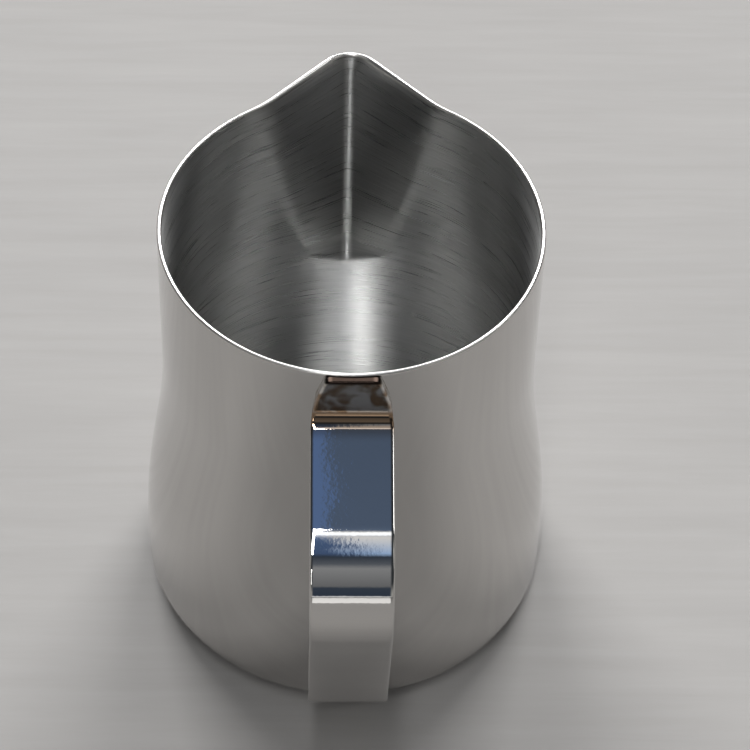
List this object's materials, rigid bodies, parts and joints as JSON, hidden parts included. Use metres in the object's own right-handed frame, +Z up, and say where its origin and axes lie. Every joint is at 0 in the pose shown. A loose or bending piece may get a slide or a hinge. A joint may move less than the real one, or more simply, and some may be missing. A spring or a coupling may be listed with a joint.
{
  "type": "milk frothing pitcher",
  "caption": "Open stainless steel jug with a V-shaped pouring spout, a flared belly and a bent strap handle, for steaming and pouring milk.",
  "frame": {"origin": "on the axis of the body, in the plane that the base rests on", "axes": "+Z up along the axis of the body, +Y towards the pouring spout, handle towards -Y"},
  "size_m": [0.09, 0.1266, 0.11],
  "materials": {
    "body_steel": "mirror polished outside, circumferentially brushed inside",
    "strap_steel": "mirror polished",
    "weld_steel": "fused, matt"
  },
  "bodies": {
    "root": {"pitcher_body": "body_steel", "handle_strap": "strap_steel", "upper_spot_welds": "weld_steel", "lower_spot_welds": "weld_steel"}
  },
  "joints": []
}
